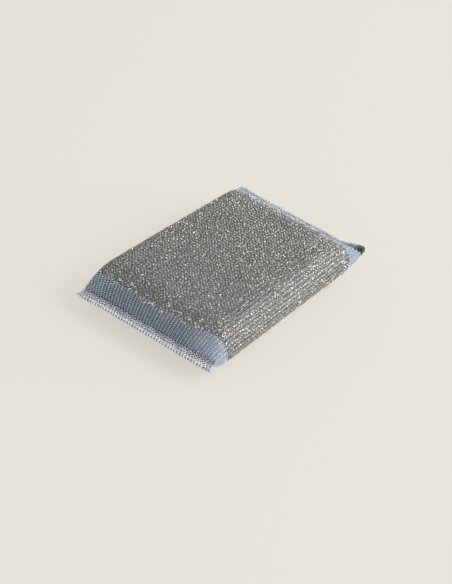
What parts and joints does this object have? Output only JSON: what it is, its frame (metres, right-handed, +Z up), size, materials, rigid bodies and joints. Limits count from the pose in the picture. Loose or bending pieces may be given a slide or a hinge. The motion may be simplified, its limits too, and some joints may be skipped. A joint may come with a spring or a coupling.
{
  "type": "steel wool pad",
  "caption": "Knitted metallic scouring pad: a soft flat slab in a ribbed tube of knit, pressed into thin flared hems at both ends.",
  "frame": {"origin": "on the surface that the pad rests on, below the middle of its length and width", "axes": "+Y along the knitted tube from the front hem to the back hem, +X across, +Z up"},
  "size_m": [0.0866, 0.1226, 0.0215],
  "materials": {
    "metallic_yarn": "knitted from flat metallic yarn, silvery to taupe, glittering",
    "plain_yarn": "fine blue-grey knit at both ends of the tube",
    "hem_yarn": "pale looped yarn along the pressed hems"
  },
  "bodies": {
    "root": {"knitted_pad": "metallic_yarn"}
  },
  "joints": []
}
